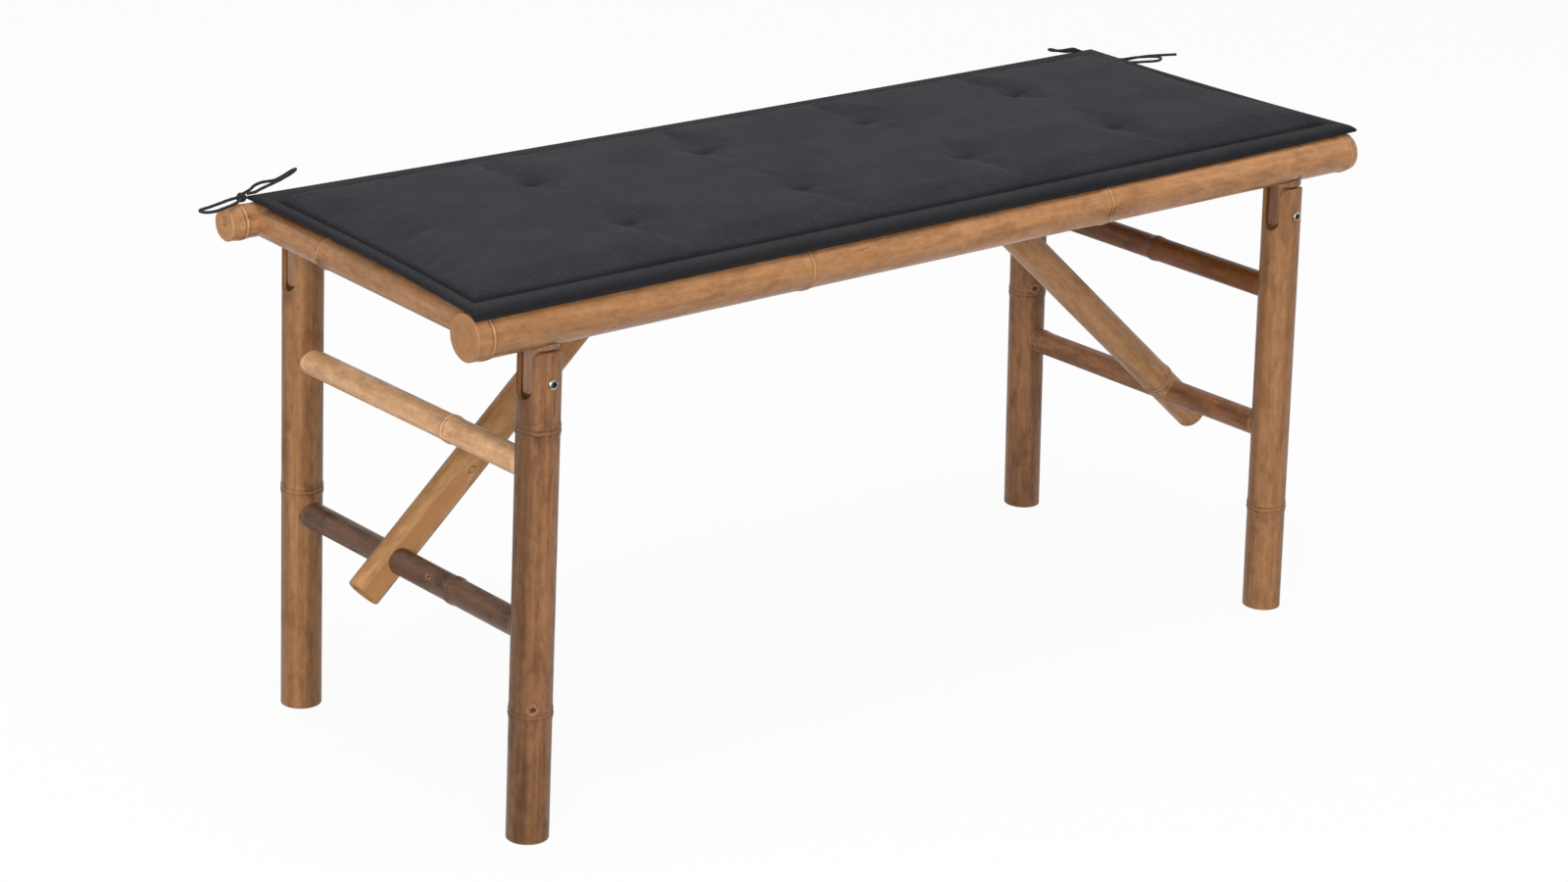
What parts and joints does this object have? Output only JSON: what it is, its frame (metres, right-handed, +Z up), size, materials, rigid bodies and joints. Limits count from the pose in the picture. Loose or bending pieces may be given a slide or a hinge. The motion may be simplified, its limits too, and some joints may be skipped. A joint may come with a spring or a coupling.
{
  "type": "folding garden bench",
  "caption": "Folding garden bench of bamboo canes with bolted leg frames, cane braces, a slatted seat and a tufted dark grey cushion with corner ties.",
  "frame": {"origin": "on the floor, under the middle of the bench", "axes": "+X along the seat from the left end to the right end, +Y from front to back, +Z up"},
  "size_m": [1.3044, 0.4439, 0.569],
  "materials": {
    "rail_bamboo": "varnished honey-coloured bamboo cane with nodes",
    "cross_rail_bamboo": "varnished bamboo cane",
    "slat_bamboo": "split bamboo, varnished",
    "leg_bamboo": "varnished brown bamboo cane with nodes",
    "crossbar_bamboo": "varnished bamboo cane with nodes",
    "grey_bamboo": "dark grey-brown bamboo cane",
    "brace_bamboo": "pale varnished bamboo cane, one with a natural groove",
    "hinge_wood": "turned and stained hardwood",
    "bolt_steel": "satin steel with hexagonal recesses",
    "nail_steel": "dull steel",
    "cushion_fabric": "woven charcoal polyester, tufted",
    "tie_cord": "thin round black cord"
  },
  "bodies": {
    "seat": {"front_rail": "rail_bamboo", "back_rail": "rail_bamboo", "left_end_rail": "cross_rail_bamboo", "right_end_rail": "cross_rail_bamboo", "left_outer_cross_rail": "cross_rail_bamboo", "left_inner_cross_rail": "cross_rail_bamboo", "right_inner_cross_rail": "cross_rail_bamboo", "right_outer_cross_rail": "cross_rail_bamboo", "slat_1": "slat_bamboo", "slat_2": "slat_bamboo", "slat_3": "slat_bamboo", "slat_4": "slat_bamboo", "slat_5": "slat_bamboo", "slat_6": "slat_bamboo", "slat_7": "slat_bamboo", "slat_8": "slat_bamboo", "slat_nails": "nail_steel", "tenon_nails": "nail_steel", "front_left_hinge_block": "hinge_wood", "back_left_hinge_block": "hinge_wood", "front_right_hinge_block": "hinge_wood", "back_right_hinge_block": "hinge_wood", "cushion": "cushion_fabric", "left_tie_knot": "tie_cord", "right_tie_knot": "tie_cord", "left_tie_long_loop": "tie_cord", "left_tie_short_loop": "tie_cord", "right_tie_long_loop": "tie_cord", "right_tie_short_loop": "tie_cord", "right_tie_tail": "tie_cord"},
    "left_leg_frame": {"front_left_leg": "leg_bamboo", "back_left_leg": "leg_bamboo", "left_upper_crossbar": "crossbar_bamboo", "left_lower_crossbar": "grey_bamboo", "front_left_bolt": "bolt_steel", "back_left_bolt": "bolt_steel", "left_bolt_nuts": "bolt_steel"},
    "right_leg_frame": {"front_right_leg": "leg_bamboo", "back_right_leg": "leg_bamboo", "right_upper_crossbar": "crossbar_bamboo", "right_lower_crossbar": "crossbar_bamboo", "front_right_bolt": "bolt_steel", "back_right_bolt": "bolt_steel", "right_bolt_nuts": "bolt_steel"},
    "left_brace_body": {"left_brace": "brace_bamboo"},
    "right_brace_body": {"right_brace": "brace_bamboo"}
  },
  "joints": [
    {"name": "left_leg_fold", "type": "hinge", "parent": "seat", "child": "left_leg_frame", "pos_m": [-0.5015, 0, 0.464], "axis": [0, -1, 0], "range_deg": [0, 90.56]},
    {"name": "right_leg_fold", "type": "hinge", "parent": "seat", "child": "right_leg_frame", "pos_m": [0.5015, 0, 0.464], "axis": [0, 1, 0], "range_deg": [0, 92.78]},
    {"name": "left_brace_turn", "type": "hinge", "parent": "left_leg_frame", "child": "left_brace_body", "pos_m": [-0.50394, 0, 0.212], "axis": [0, 1, 0], "range_deg": [0, 132.6]},
    {"name": "right_brace_turn", "type": "hinge", "parent": "right_leg_frame", "child": "right_brace_body", "pos_m": [0.51372, 0, 0.212], "axis": [0, -1, 0], "range_deg": [0, 133.97]}
  ],
  "couplings": [
    {"joint": "left_brace_turn", "follows": "left_leg_fold", "ratio": 1.4638},
    {"joint": "right_brace_turn", "follows": "right_leg_fold", "ratio": 1.4435}
  ]
}
